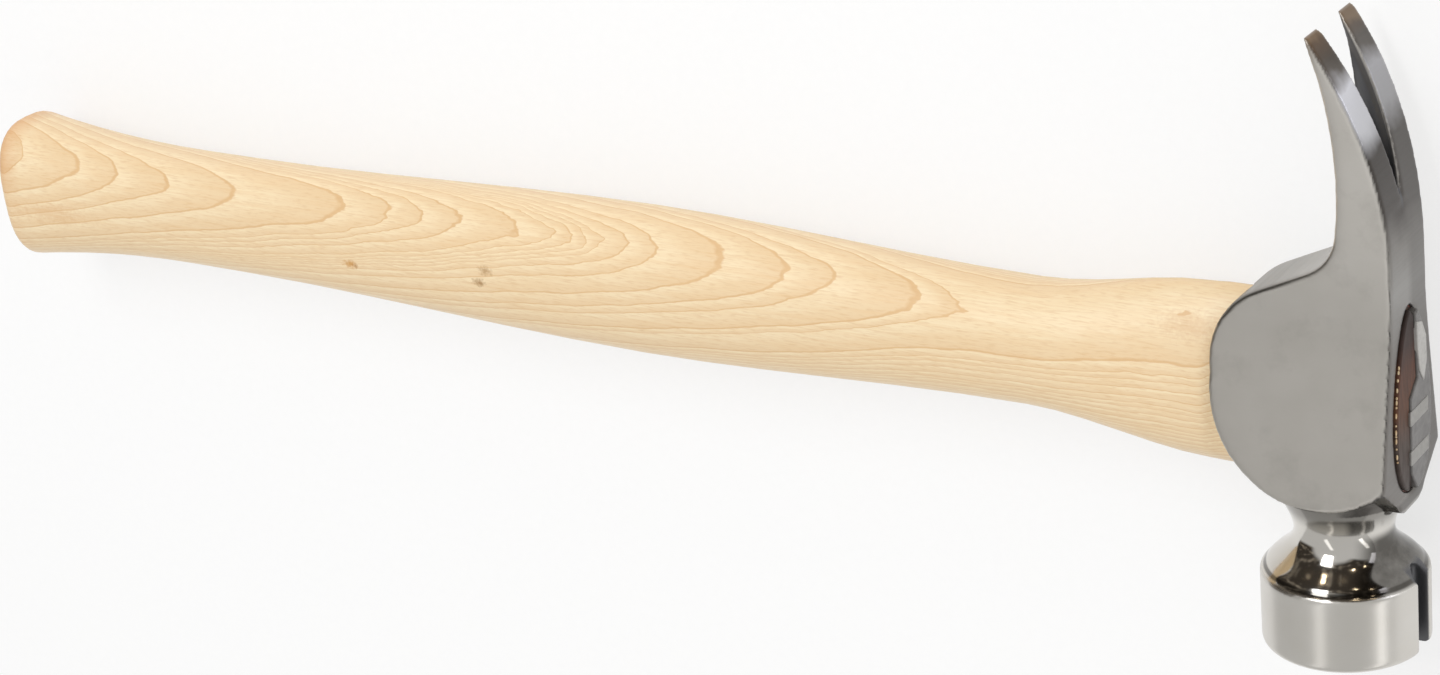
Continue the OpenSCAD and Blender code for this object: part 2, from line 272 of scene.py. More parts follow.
reflection_shares = {"back": [], "ramp": [], "edge_line": []}
for vert in skin.vertices:
    x, y = (vert.co / MM).xy
    on_claw = y > -37
    ramp_side = 4 < y < 34 and x < 190
    turned_up = vert.normal.y
    rounded = 1 - 0.5 * share(turned_up, 0.7, 0.95)
    reflection_shares["back"].append(share(vert.normal.x, 0.3, 0.6) * on_claw)
    reflection_shares["ramp"].append(min(share(turned_up, 0.2, 0.5), rounded) * share(x, 192, 172) * ramp_side)
    half_turned = share(abs(vert.normal.x - 0.5), 0.25, 0.1)
    reflection_shares["edge_line"].append(half_turned * share(y, 28, 20) * on_claw)
for name, values in reflection_shares.items():
    skin.attributes.new(name, "FLOAT", "POINT").data.foreach_set("value", values)
    print("points with some of", name, "finish:", sum(value > 0 for value in values))

# %% [markdown]
# ## Polished steel
# Cheeks, claw and bell have a satin polish with fine lines across the head.
# The neck and the bell's shoulder are buffed to a mirror, and the tips keep a brown film from the heat.
# One material does all of it, steered by the place on the head, so no seam shows between finishes.

# %% Steel
# It gives the eye a soft grey sheen on the cheeks and sharp reflections at the neck
steel = bpy.data.materials.new("satin and mirror polished steel")
steel.use_nodes = True
tree = steel.node_tree
tree.nodes.clear()
place = node(tree, "ShaderNodeTexCoord").outputs["Object"]
part = node(tree, "ShaderNodeSeparateXYZ", inputs={"Vector": place})
# The mirror lies between the bead of the bell and the cheeks
over_bead = node(tree, "ShaderNodeMapRange", inputs={
    "Value": part.outputs["Y"], "From Min": -55.6 * MM, "From Max": -55 * MM})
under_cheek = node(tree, "ShaderNodeMapRange", inputs={
    "Value": part.outputs["Y"], "From Min": -33 * MM, "From Max": -37 * MM})
mirror = node(tree, "ShaderNodeMath", {"operation": "MULTIPLY"}, {
    0: over_bead.outputs[0], 1: under_cheek.outputs[0]})
# The brown film covers the last few millimetres of the claw
film = node(tree, "ShaderNodeMapRange", inputs={
    "Value": part.outputs["Y"], "From Min": 68 * MM, "From Max": 74 * MM, "To Max": 0.6})
# Painted shade darkens the slot's walls, the nail groove and the crease under the cheeks
claw_middle = node(tree, "ShaderNodeVectorMath", {"operation": "SUBTRACT"}, {
    0: place, 1: (claw_x * MM, claw_y * MM, mid_z)})
off_middle = node(tree, "ShaderNodeSeparateXYZ", inputs={"Vector": claw_middle.outputs[0]})
flat_off = node(tree, "ShaderNodeVectorMath", {"operation": "MULTIPLY"}, {
    0: claw_middle.outputs[0], 1: (1, 1, 0)})
claw_radius = node(tree, "ShaderNodeVectorMath", {"operation": "LENGTH"}, {0: flat_off.outputs[0]})
aside = node(tree, "ShaderNodeMath", {"operation": "ABSOLUTE"}, {0: off_middle.outputs["Z"]})
slot_edge = node(tree, "ShaderNodeMapRange", {"clamp": False}, {
    "Value": part.outputs["Y"], "From Min": slot_start_y * MM, "From Max": tip_y * MM,
    "To Min": 1.6 * MM, "To Max": 7.6 * MM})
within_slot = node(tree, "ShaderNodeMath", {"operation": "LESS_THAN"}, {
    0: aside.outputs[0], 1: slot_edge.outputs[0]})
sunk = node(tree, "ShaderNodeMapRange", inputs={
    "Value": claw_radius.outputs["Value"], "From Min": 94.1 * MM, "From Max": 93.5 * MM})
slot_wall = node(tree, "ShaderNodeMath", {"operation": "MULTIPLY"}, {
    0: within_slot.outputs[0], 1: sunk.outputs[0]})
print("steel nodes so far:", len(tree.nodes))

# %% Steel places, continued
in_groove = node(tree, "ShaderNodeMapRange", inputs={
    "Value": aside.outputs[0], "From Min": 4.2 * MM, "From Max": 3.6 * MM})
at_top = node(tree, "ShaderNodeMapRange", inputs={
    "Value": part.outputs["X"], "From Min": 198.6 * MM, "From Max": 199 * MM})
on_bell = node(tree, "ShaderNodeMapRange", inputs={
    "Value": part.outputs["Y"], "From Min": -52 * MM, "From Max": -53 * MM})
bell_axis = node(tree, "ShaderNodeVectorMath", {"operation": "SUBTRACT"}, {
    0: place, 1: (bell_x * MM, 0, mid_z)})
off_axis = node(tree, "ShaderNodeVectorMath", {"operation": "MULTIPLY"}, {
    0: bell_axis.outputs[0], 1: (1, 0, 1)})
bell_radius = node(tree, "ShaderNodeVectorMath", {"operation": "LENGTH"}, {0: off_axis.outputs[0]})
below_skin = node(tree, "ShaderNodeMapRange", inputs={
    "Value": bell_radius.outputs["Value"], "From Min": 18.9 * MM, "From Max": 18.5 * MM})
groove_top = node(tree, "ShaderNodeMath", {"operation": "MULTIPLY"}, {
    0: in_groove.outputs[0], 1: at_top.outputs[0]})
groove_deep = node(tree, "ShaderNodeMath", {"operation": "MULTIPLY"}, {
    0: groove_top.outputs[0], 1: below_skin.outputs[0]})
groove = node(tree, "ShaderNodeMath", {"operation": "MULTIPLY"}, {
    0: groove_deep.outputs[0], 1: on_bell.outputs[0]})
crease = node(tree, "ShaderNodeMapRange", {"interpolation_type": "SMOOTHSTEP"}, {
    "Value": part.outputs["Y"], "From Min": -43 * MM, "From Max": -38 * MM})
crease_end = node(tree, "ShaderNodeMapRange", inputs={
    "Value": part.outputs["Y"], "From Min": -34 * MM, "From Max": -35 * MM, "To Max": 0.6})
crease_shade_share = node(tree, "ShaderNodeMath", {"operation": "MULTIPLY"}, {
    0: crease.outputs[0], 1: crease_end.outputs[0]})
# At its point the slot is a slit too narrow for the grid, so it goes on as a painted dark line, its shadow
slit_line = node(tree, "ShaderNodeMapRange", inputs={
    "Value": aside.outputs[0], "From Min": 0.5 * MM, "From Max": 0.25 * MM})
slit_end = node(tree, "ShaderNodeMapRange", inputs={
    "Value": part.outputs["Y"], "From Min": 32.4 * MM, "From Max": 34.4 * MM})
slit = node(tree, "ShaderNodeMath", {"operation": "MULTIPLY"}, {
    0: slit_line.outputs[0], 1: slit_end.outputs[0]})
slot_shade = node(tree, "ShaderNodeMath", {"operation": "MAXIMUM"}, {
    0: slot_wall.outputs[0], 1: slit.outputs[0]})
shade_and_rough_recesses = node(tree, "ShaderNodeMath", {"operation": "MAXIMUM"}, {
    0: slot_shade.outputs[0], 1: groove.outputs[0]})
# Satin lines are really finer than this, but drawn coarser they still reach the eye
lines_place = node(tree, "ShaderNodeVectorMath", {"operation": "MULTIPLY"}, {
    0: place, 1: (1 / (17 * MM), 1 / (0.55 * MM), 1 / (17 * MM))})
lines = node(tree, "ShaderNodeTexNoise", inputs={
    "Vector": lines_place.outputs[0], "Scale": 1, "Detail": 2})
clouds = node(tree, "ShaderNodeTexNoise", inputs={"Vector": place, "Scale": 1 / (11 * MM), "Detail": 3})
print("steel nodes so far:", len(tree.nodes))

# %% Steel colours and gloss
plain = node(tree, "ShaderNodeMix", {"data_type": "RGBA"}, {
    0: clouds.outputs[0], 6: linear("#ccc8c0"), 7: linear("#d6d3ce")})
# Cheeks and claw get a darker grey than the bell, lighter towards the claw: painted reflection of the room
cheeks = node(tree, "ShaderNodeMapRange", inputs={
    "Value": part.outputs["Y"], "From Min": -39 * MM, "From Max": -34 * MM})
claw_sheen_share = node(tree, "ShaderNodeMapRange", inputs={
    "Value": part.outputs["Y"], "From Min": 5 * MM, "From Max": 32 * MM})
cheek_tone = node(tree, "ShaderNodeMix", {"data_type": "RGBA"}, {
    0: claw_sheen_share.outputs[0], 6: linear("#b4b0a9"), 7: linear("#c4c0b9")})
pale_tone = node(tree, "ShaderNodeMix", {"data_type": "RGBA"}, {
    0: claw_sheen_share.outputs[0], 6: linear("#c0bcb6"), 7: linear("#cecac4")})
painted_side_tone = node(tree, "ShaderNodeMix", {"data_type": "RGBA"}, {
    0: clouds.outputs[0], 6: cheek_tone.outputs[2], 7: pale_tone.outputs[2]})
# Handling leaves a few faint smudges on the polish
smudges = node(tree, "ShaderNodeTexNoise", inputs={
    "Vector": place, "Scale": 1 / (16 * MM), "Detail": 6, "Roughness": 0.65})
smudged = node(tree, "ShaderNodeMapRange", inputs={
    "Value": smudges.outputs[0], "From Min": 0.52, "From Max": 0.72, "To Max": 0.28})
handled = node(tree, "ShaderNodeMix", {"data_type": "RGBA"}, {
    0: smudged.outputs[0], 6: painted_side_tone.outputs[2], 7: linear("#8e8a84")})
sided = node(tree, "ShaderNodeMix", {"data_type": "RGBA"}, {
    0: cheeks.outputs[0], 6: plain.outputs[2], 7: handled.outputs[2]})
# Along the back, painted sheen alternates with painted dark reflections, and the tips end in a tan colour
patchy = node(tree, "ShaderNodeMath", {"operation": "MULTIPLY_ADD"}, {
    0: clouds.outputs[0], 1: 9 * MM, 2: part.outputs["Y"]})
along_back = node(tree, "ShaderNodeMapRange", inputs={
    "Value": patchy.outputs[0], "From Min": -31.5 * MM, "From Max": 78.5 * MM})
back_reflection_tone = node(tree, "ShaderNodeValToRGB", inputs={0: along_back.outputs[0]})
back_reflection_tone.color_ramp.elements[0].color = linear("#7c7874")
back_reflection_tone.color_ramp.elements[1].color = linear("#8f7c62")
for y, colour in ((0, "#7c7874"), (15, "#9a9895"), (26, "#84817d"), (33, "#55514e"), (48, "#4a4643"),
                  (54, "#c4c4c8"), (62, "#d2d2d8"), (66, "#5e5852"), (70.5, "#463d35"), (72.3, "#8f7c62")):
    back_reflection_tone.color_ramp.elements.new((y + 36) / 110).color = linear(colour)
# The lower prong's back gets a darker grey: painted shade that dims its reflection
far_prong_dimming = node(tree, "ShaderNodeMapRange", inputs={
    "Value": part.outputs["Z"], "From Min": 20 * MM, "From Max": 17 * MM, "To Max": 0.5})
far_prong_shade_tone = node(tree, "ShaderNodeMix", {"data_type": "RGBA"}, {
    0: far_prong_dimming.outputs[0], 6: back_reflection_tone.outputs[0], 7: linear("#6c6966")})
on_back = node(tree, "ShaderNodeAttribute", {"attribute_name": "back"})
backed = node(tree, "ShaderNodeMix", {"data_type": "RGBA"}, {
    0: on_back.outputs["Fac"], 6: sided.outputs[2], 7: far_prong_shade_tone.outputs[2]})
# The ramp gets a painted dark reflection, and a broken painted dark line runs down the edge beside the eye
on_ramp = node(tree, "ShaderNodeAttribute", {"attribute_name": "ramp"})
ramp_shade_share = node(tree, "ShaderNodeMath", {"operation": "MULTIPLY"}, {0: on_ramp.outputs["Fac"], 1: 0.75})
ramp_dark_reflection = node(tree, "ShaderNodeMix", {"data_type": "RGBA"}, {
    0: ramp_shade_share.outputs[0], 6: backed.outputs[2], 7: linear("#55534f")})
on_edge = node(tree, "ShaderNodeAttribute", {"attribute_name": "edge_line"})
broken = node(tree, "ShaderNodeMapRange", inputs={
    "Value": smudges.outputs[0], "From Min": 0.4, "From Max": 0.55, "To Min": 0.25, "To Max": 0.85})
edge_shade_share = node(tree, "ShaderNodeMath", {"operation": "MULTIPLY"}, {
    0: on_edge.outputs["Fac"], 1: broken.outputs[0]})
edge_dark_reflection = node(tree, "ShaderNodeMix", {"data_type": "RGBA"}, {
    0: edge_shade_share.outputs[0], 6: ramp_dark_reflection.outputs[2], 7: linear("#3c3a38")})
browned = node(tree, "ShaderNodeMix", {"data_type": "RGBA"}, {
    0: film.outputs[0], 6: edge_dark_reflection.outputs[2], 7: linear("#7f6650")})
# Painted shade darkens the crease under the cheeks
crease_shadowed = node(tree, "ShaderNodeMix", {"data_type": "RGBA"}, {
    0: crease_shade_share.outputs[0], 6: browned.outputs[2], 7: linear("#55524e")})
# In the photograph the shoulder beside the groove mirrors something dark, where here it meets white
# paper. A dark tint stands in for that reflection; the real steel has no such stain
dim_side = node(tree, "ShaderNodeMapRange", {"interpolation_type": "SMOOTHSTEP"}, {
    "Value": part.outputs["X"], "From Min": 190 * MM, "From Max": 195 * MM, "To Max": 0.85})
dim_low = node(tree, "ShaderNodeMapRange", {"interpolation_type": "SMOOTHSTEP"}, {
    "Value": part.outputs["Y"], "From Min": -43 * MM, "From Max": -46 * MM})
dim_flank = node(tree, "ShaderNodeMath", {"operation": "MULTIPLY"}, {
    0: dim_side.outputs[0], 1: dim_low.outputs[0]})
dim_patches = node(tree, "ShaderNodeMapRange", inputs={
    "Value": smudges.outputs[0], "From Min": 0.35, "From Max": 0.55, "To Min": 0.8})
dim_part = node(tree, "ShaderNodeMath", {"operation": "MULTIPLY"}, {
    0: dim_flank.outputs[0], 1: dim_patches.outputs[0]})
dim = node(tree, "ShaderNodeMath", {"operation": "MULTIPLY"}, {
    0: dim_part.outputs[0], 1: mirror.outputs[0]})
dimmed = node(tree, "ShaderNodeMix", {"data_type": "RGBA"}, {
    0: dim.outputs[0], 6: crease_shadowed.outputs[2], 7: linear("#26221d")})
# A thin painted shadow line darkens the crease over the bead
bead_way = node(tree, "ShaderNodeMath", {"operation": "ADD"}, {0: part.outputs["Y"], 1: 54.6 * MM})
bead_off = node(tree, "ShaderNodeMath", {"operation": "ABSOLUTE"}, {0: bead_way.outputs[0]})
bead_shadow_line = node(tree, "ShaderNodeMapRange", {"interpolation_type": "SMOOTHSTEP"}, {
    "Value": bead_off.outputs[0], "From Min": 0.6 * MM, "From Max": 0.2 * MM, "To Max": 0.75})
bead_shadowed = node(tree, "ShaderNodeMix", {"data_type": "RGBA"}, {
    0: bead_shadow_line.outputs[0], 6: dimmed.outputs[2], 7: linear("#4a4743")})
# The slot, the slit and the groove get their painted shade here
darkened = node(tree, "ShaderNodeMix", {"data_type": "RGBA"}, {
    0: shade_and_rough_recesses.outputs[0], 6: bead_shadowed.outputs[2], 7: linear("#6a6a6c")})
satin = node(tree, "ShaderNodeMapRange", inputs={
    "Value": lines.outputs[0], "To Min": 0.28, "To Max": 0.42})
bell_satin = node(tree, "ShaderNodeMapRange", inputs={
    "Value": lines.outputs[0], "To Min": 0.26, "To Max": 0.32})
ground_gloss = node(tree, "ShaderNodeMix", inputs={
    0: cheeks.outputs[0], 2: bell_satin.outputs[0], 3: satin.outputs[0]})
polished = node(tree, "ShaderNodeMix", inputs={0: mirror.outputs[0], 2: ground_gloss.outputs[0], 3: 0.1})
gloss = node(tree, "ShaderNodeMix", inputs={0: shade_and_rough_recesses.outputs[0], 2: polished.outputs[0], 3: 0.5})
bump = node(tree, "ShaderNodeBump", inputs={
    "Strength": 0.06, "Distance": 0.02 * MM, "Height": lines.outputs[0]})
shader = node(tree, "ShaderNodeBsdfPrincipled", inputs={
    "Base Color": darkened.outputs[2], "Metallic": 1, "Roughness": gloss.outputs[0],
    "Normal": bump.outputs[0]})
node(tree, "ShaderNodeOutputMaterial", inputs={"Surface": shader.outputs[0]})
head.data.materials.clear()
head.data.materials.append(steel)
print("steel nodes:", len(tree.nodes))

# %% [markdown]
# ## The handle
# The handle is turned from one length of pale hardwood, with a tenon that runs through the eye.
# Its solid already has the right curves, so a merged copy only needs smooth shading.
# Edges that bend sharply, such as the kerf's, stay crisp.

# %% Handle
shape = bmesh.new()
shape.from_mesh(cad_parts["handle"].data)
bmesh.ops.remove_doubles(shape, verts=shape.verts, dist=0.002 * MM)
for face in shape.faces:
    face.smooth = True
for edge in shape.edges:
    edge.smooth = edge.calc_face_angle(0) < math.radians(35)
handle_mesh = bpy.data.meshes.new("turned_handle")
shape.to_mesh(handle_mesh)
shape.free()
handle = bpy.data.objects.new("turned_handle", handle_mesh)
scene.collection.objects.link(handle)
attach(handle, "root")
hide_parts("handle")
print("handle faces:", len(handle.data.polygons))

# %% [markdown]
# ## Lacquered wood
# The wood is cut flat from a trunk, so its year rings run out in long pointed arches towards the head.
# The rings are drawn as they grew: the distance from a pith beside the handle, divided into years.
# The pith drifts away along the handle, and that drift is what makes the arches.

# %% Wood rings
# It gives the eye cream wood with honey-coloured arches under a soft gloss
wood = bpy.data.materials.new("lacquered pale hardwood")
wood.use_nodes = True
tree = wood.node_tree
tree.nodes.clear()
place = node(tree, "ShaderNodeTexCoord").outputs["Object"]
part = node(tree, "ShaderNodeSeparateXYZ", inputs={"Vector": place})
# Slow bends of the trunk, stretched along the handle
bend_place = node(tree, "ShaderNodeVectorMath", {"operation": "MULTIPLY"}, {
    0: place, 1: (1 / (45 * MM), 1 / (22 * MM), 1 / (22 * MM))})
bend = node(tree, "ShaderNodeTexNoise", inputs={
    "Vector": bend_place.outputs[0], "Scale": 1, "Detail": 5, "Roughness": 0.6})
bend_mm = node(tree, "ShaderNodeMapRange", inputs={
    "Value": bend.outputs[0], "To Min": -1.6 * MM, "To Max": 1.6 * MM})
# The pith drifts as far as the throat and then runs straight, so no arch falls there
drift_end = node(tree, "ShaderNodeMath", {"operation": "SMOOTH_MIN"}, {
    0: part.outputs["X"], 1: 95 * MM, 2: 20 * MM})
drift = node(tree, "ShaderNodeMath", {"operation": "MULTIPLY_ADD"}, {
    0: drift_end.outputs[0], 1: 0.12, 2: bend_mm.outputs[0]})
# The pith runs beside the handle, up and to the claw's side of it
turned_place = node(tree, "ShaderNodeVectorRotate", {"rotation_type": "X_AXIS"}, {
    "Vector": place, "Center": (0, -10.8 * MM, mid_z), "Angle": -math.atan2(0.79, 0.61)})
turned_part = node(tree, "ShaderNodeSeparateXYZ", inputs={"Vector": turned_place.outputs[0]})
print("wood nodes so far:", len(tree.nodes))

# %% Wood years
toward = node(tree, "ShaderNodeMath", {"operation": "SUBTRACT"}, {
    0: drift.outputs[0], 1: turned_part.outputs["Y"]})
reach = node(tree, "ShaderNodeMath", {"operation": "ADD"}, {0: toward.outputs[0], 1: 70 * MM})
sideways = node(tree, "ShaderNodeMath", {"operation": "SUBTRACT"}, {
    0: turned_part.outputs["Z"], 1: mid_z})
across = node(tree, "ShaderNodeCombineXYZ", inputs={"X": reach.outputs[0], "Y": sideways.outputs[0]})
radius = node(tree, "ShaderNodeVectorMath", {"operation": "LENGTH"}, {0: across.outputs[0]})
# A small burl by the head pushes the rings aside
burl = node(tree, "ShaderNodeVectorMath", {"operation": "DISTANCE"}, {
    0: place, 1: (151 * MM, 1.5 * MM, 27 * MM)})
pushed = node(tree, "ShaderNodeMapRange", {"interpolation_type": "SMOOTHSTEP"}, {
    "Value": burl.outputs["Value"], "From Min": 1 * MM, "From Max": 14 * MM,
    "To Min": -1.3 * MM, "To Max": 0})
ringed = node(tree, "ShaderNodeMath", {"operation": "ADD"}, {
    0: radius.outputs["Value"], 1: pushed.outputs[0]})
# Good and poor summers: the widths of the years in millimetres, from the pith's side outwards,
# chosen so that the arches end where the photograph shows them
first_ring = 38.6
year_widths = [1.2, 4, 2.7, 2.3, 3.1, 3.8, 1.6, 0.9, 1.2, 1.9, 0.7, 0.6, 0.5, 0.5, 1, 1.4, 3.1, 2.6,
               1.6, 3.7, 1.1, 4.6] + [1.3, 0.9, 1.2, 1.6] * 7
ring_span = sum(year_widths)
counted = node(tree, "ShaderNodeFloatCurve")
curve = counted.mapping.curves[0]
grown = 0
for i, width in enumerate(year_widths[:-1]):
    grown += width
    curve.points.new(grown / ring_span, (i + 1) / len(year_widths))
for point in curve.points:
    point.handle_type = "VECTOR"
counted.mapping.update()
along_rings = node(tree, "ShaderNodeMapRange", inputs={
    "Value": ringed.outputs[0], "From Min": first_ring * MM, "From Max": (first_ring + ring_span) * MM})
tree.links.new(along_rings.outputs[0], counted.inputs["Value"])
years = node(tree, "ShaderNodeMath", {"operation": "MULTIPLY"}, {
    0: counted.outputs[0], 1: len(year_widths)})
year = node(tree, "ShaderNodeMath", {"operation": "FRACT"}, {0: years.outputs[0]})
# Within a year the wood darkens slowly outwards and starts pale again with the next spring
late = node(tree, "ShaderNodeValToRGB", inputs={0: year.outputs[0]})
late.color_ramp.elements[0].color = (0, 0, 0, 1)
late.color_ramp.elements[1].color = (0, 0, 0, 1)
for position, depth in ((0.2, 0.06), (0.5, 0.28), (0.88, 0.42), (0.93, 0.85), (0.97, 0.8)):
    late.color_ramp.elements.new(position).color = (depth, depth, depth, 1)
print("years:", len(year_widths), "over", round(ring_span), "mm")
ring = node(tree, "ShaderNodeMix", {"data_type": "RGBA"}, {
    0: late.outputs[0], 6: linear("#f6e2bd"), 7: linear("#dbb07a")})
print("wood nodes so far:", len(tree.nodes))

# %% [markdown]
# ## Fibres, knots and lacquer
# Fine fibres run along the handle and two small pin knots lie near its middle.
# The tenon's end shows in the eye: end grain soaked in red-brown varnish.
# A thin clear coat gives the soft gloss of lacquer.

# %% Wood details
fibre_place = node(tree, "ShaderNodeVectorMath", {"operation": "MULTIPLY"}, {
    0: place, 1: (1 / (20 * MM), 1 / (0.65 * MM), 1 / (0.65 * MM))})
fibre = node(tree, "ShaderNodeTexNoise", inputs={
    "Vector": fibre_place.outputs[0], "Scale": 1, "Detail": 3})
fibre_share = node(tree, "ShaderNodeMapRange", inputs={
    "Value": fibre.outputs[0], "From Min": 0.35, "From Max": 0.75, "To Min": 0, "To Max": 0.5})
streaked = node(tree, "ShaderNodeMix", {"data_type": "RGBA"}, {
    0: fibre_share.outputs[0], 6: ring.outputs[2], 7: linear("#e8c492")})
# Pores are finer in life and are drawn as short darker dashes
pore_place = node(tree, "ShaderNodeVectorMath", {"operation": "MULTIPLY"}, {
    0: place, 1: (1 / (3 * MM), 1 / (0.35 * MM), 1 / (0.35 * MM))})
pore = node(tree, "ShaderNodeTexNoise", inputs={"Vector": pore_place.outputs[0], "Scale": 1, "Detail": 1})
pore_share = node(tree, "ShaderNodeMapRange", inputs={
    "Value": pore.outputs[0], "From Min": 0.5, "From Max": 0.75, "To Max": 0.45})
pored = node(tree, "ShaderNodeMix", {"data_type": "RGBA"}, {
    0: pore_share.outputs[0], 6: streaked.outputs[2], 7: linear("#ddb787")})
coloured = pored.outputs[2]
speckle = node(tree, "ShaderNodeTexNoise", inputs={"Vector": place, "Scale": 1 / (0.9 * MM), "Detail": 2})
marks = (((-83.3, -13.6, 31.7), 2.3, 1.1, 0.9, "#cf9850"), ((-81.6, -13.8, 31.7), 0.9, 0.7, 0.7, "#b07c42"),
         ((-39.2, -9.2, 32.9), 2.2, 1.3, 0.8, "#b99160"), ((-41.5, -12.6, 32.2), 2, 1.2, 0.9, "#ab8352"),
         ((-186, -12, 33), 15, 3, 0.35, "#dcae7a"), ((152, 1, 27), 8, 3.5, 0.5, "#dcb486"))
for knot, length, breadth, strength, tone in marks:
    offset = node(tree, "ShaderNodeVectorMath", {"operation": "SUBTRACT"}, {
        0: place, 1: [c * MM for c in knot]})
    shrunk = node(tree, "ShaderNodeVectorMath", {"operation": "MULTIPLY"}, {
        0: offset.outputs[0], 1: (1 / (length * MM), 1 / (breadth * MM), 1 / (6 * MM))})
    away = node(tree, "ShaderNodeVectorMath", {"operation": "LENGTH"}, {0: shrunk.outputs[0]})
    ragged = node(tree, "ShaderNodeMath", {"operation": "MULTIPLY_ADD"}, {
        0: speckle.outputs[0], 1: 1.8, 2: away.outputs["Value"]})
    mark = node(tree, "ShaderNodeMapRange", inputs={
        "Value": ragged.outputs[0], "From Min": 2.1, "From Max": 1.1, "To Max": strength})
    spotted = node(tree, "ShaderNodeMix", {"data_type": "RGBA"}, {
        0: mark.outputs[0], 6: coloured, 7: linear(tone)})
    coloured = spotted.outputs[2]
print("wood nodes so far:", len(tree.nodes))

# %% Tenon end and lacquer
butt = node(tree, "ShaderNodeMapRange", inputs={
    "Value": part.outputs["X"], "From Min": -195 * MM, "From Max": -203 * MM, "To Max": 0.8})
upper_end = node(tree, "ShaderNodeMapRange", inputs={
    "Value": part.outputs["Y"], "From Min": -10 * MM, "From Max": 0, "To Min": 0.2, "To Max": 1})
end_share = node(tree, "ShaderNodeMath", {"operation": "MULTIPLY"}, {
    0: butt.outputs[0], 1: upper_end.outputs[0]})
ended = node(tree, "ShaderNodeMix", {"data_type": "RGBA"}, {
    0: end_share.outputs[0], 6: coloured, 7: linear("#d69a5e")})
near_half = node(tree, "ShaderNodeMapRange", inputs={
    "Value": part.outputs["Z"], "From Min": 17.5 * MM, "From Max": 20 * MM})
stain = node(tree, "ShaderNodeMix", {"data_type": "RGBA"}, {
    0: near_half.outputs[0], 6: linear("#4a3a32"), 7: linear("#5f3828")})
in_eye = node(tree, "ShaderNodeMapRange", inputs={
    "Value": part.outputs["X"], "From Min": 199.2 * MM, "From Max": 199.6 * MM})
stained = node(tree, "ShaderNodeMix", {"data_type": "RGBA"}, {
    0: in_eye.outputs[0], 6: ended.outputs[2], 7: stain.outputs[2]})
bump = node(tree, "ShaderNodeBump", inputs={
    "Strength": 0.1, "Distance": 0.05 * MM, "Height": fibre.outputs[0]})
shader = node(tree, "ShaderNodeBsdfPrincipled", inputs={
    "Base Color": stained.outputs[2], "Roughness": 0.5, "Coat Weight": 0.25, "Coat Roughness": 0.2,
    "Normal": bump.outputs[0]})
node(tree, "ShaderNodeOutputMaterial", inputs={"Surface": shader.outputs[0]})
handle.data.materials.append(wood)
print("wood nodes:", len(tree.nodes))

# %% [markdown]
# ## The wedges in the eye
# Two steel wedges are driven across the tenon, and their heads show as pale bars.
# A real wedge is cut from bar and hammering rounds its edges a little, so copies of the solids are bevelled.

# %% Steel wedges
# It gives the eye two dull pale bars with slight scuffs
bar_steel = bpy.data.materials.new("plain wedge steel")
bar_steel.use_nodes = True
tree = bar_steel.node_tree
tree.nodes.clear()
place = node(tree, "ShaderNodeTexCoord").outputs["Object"]
scuffs = node(tree, "ShaderNodeTexNoise", inputs={"Vector": place, "Scale": 1 / (1.1 * MM), "Detail": 3})
pale = node(tree, "ShaderNodeMix", {"data_type": "RGBA"}, {
    0: scuffs.outputs[0], 6: linear("#9a9894"), 7: linear("#b8b6b2")})
shader = node(tree, "ShaderNodeBsdfPrincipled", inputs={
    "Base Color": pale.outputs[2], "Metallic": 1, "Roughness": 0.55})
node(tree, "ShaderNodeOutputMaterial", inputs={"Surface": shader.outputs[0]})
for name in ("steel_wedge_claw_side", "steel_wedge_poll_side"):
    shape = bmesh.new()
    shape.from_mesh(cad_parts[name].data)
    bmesh.ops.remove_doubles(shape, verts=shape.verts, dist=0.002 * MM)
    bmesh.ops.dissolve_limit(shape, angle_limit=0.02, verts=shape.verts, edges=shape.edges)
    bmesh.ops.bevel(shape, geom=shape.edges, offset=0.25 * MM, affect="EDGES", segments=2, profile=0.5,
                    material=-1)
    bar_mesh = bpy.data.meshes.new(name + "_bar")
    shape.to_mesh(bar_mesh)
    shape.free()
    bar = bpy.data.objects.new(name + "_bar", bar_mesh)
    scene.collection.objects.link(bar)
    bar_mesh.materials.append(bar_steel)
    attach(bar, "root")
    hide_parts(name)
    print(name, "faces:", len(bar_mesh.polygons))

# %% [markdown]
# ## Resin round the wedges
# Bonding resin was poured over the half of the tenon that the steel wedges stand in, nearly to their tops.
# It is drawn as an outline in the eye, extruded to a plate and bevelled, as a poured edge settles.
# Over the near half the resin is clear, and the brown end grain shows through it.
# Pale wood of the long wedge shows as a narrow leaf, and some resin squeezed out at the rim.

# %% Resin cap
def plate(name, outline, low_x, high_x, soft):
    shape = bmesh.new()
    verts = [shape.verts.new((low_x * MM, y * MM, z * MM)) for y, z in outline]
    base = bmesh.ops.contextual_create(shape, geom=verts)["faces"]
    grown = bmesh.ops.extrude_face_region(shape, geom=base)["geom"]
    tops = [item for item in grown if isinstance(item, bmesh.types.BMVert)]
    bmesh.ops.translate(shape, verts=tops, vec=((high_x - low_x) * MM, 0, 0))
    top_edges = [edge for edge in shape.edges if all(vert in tops for vert in edge.verts)]
    bmesh.ops.bevel(shape, geom=top_edges, offset=soft * MM, affect="EDGES", segments=3, profile=0.5,
                    material=-1)
    bmesh.ops.recalc_face_normals(shape, faces=shape.faces)
    mesh = bpy.data.meshes.new(name)
    shape.to_mesh(mesh)
    shape.free()
    piece = bpy.data.objects.new(name, mesh)
    scene.collection.objects.link(piece)
    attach(piece, "root")
    print(name, "faces:", len(mesh.polygons))
    return piece


def eye_rim(angle, inset):
    turn = math.radians(angle)
    y = -12 + (22.25 - inset) * math.cos(turn)
    return y, axis_z + (9.45 - inset) * math.sin(turn) * (1 - 0.25 * math.cos(turn))


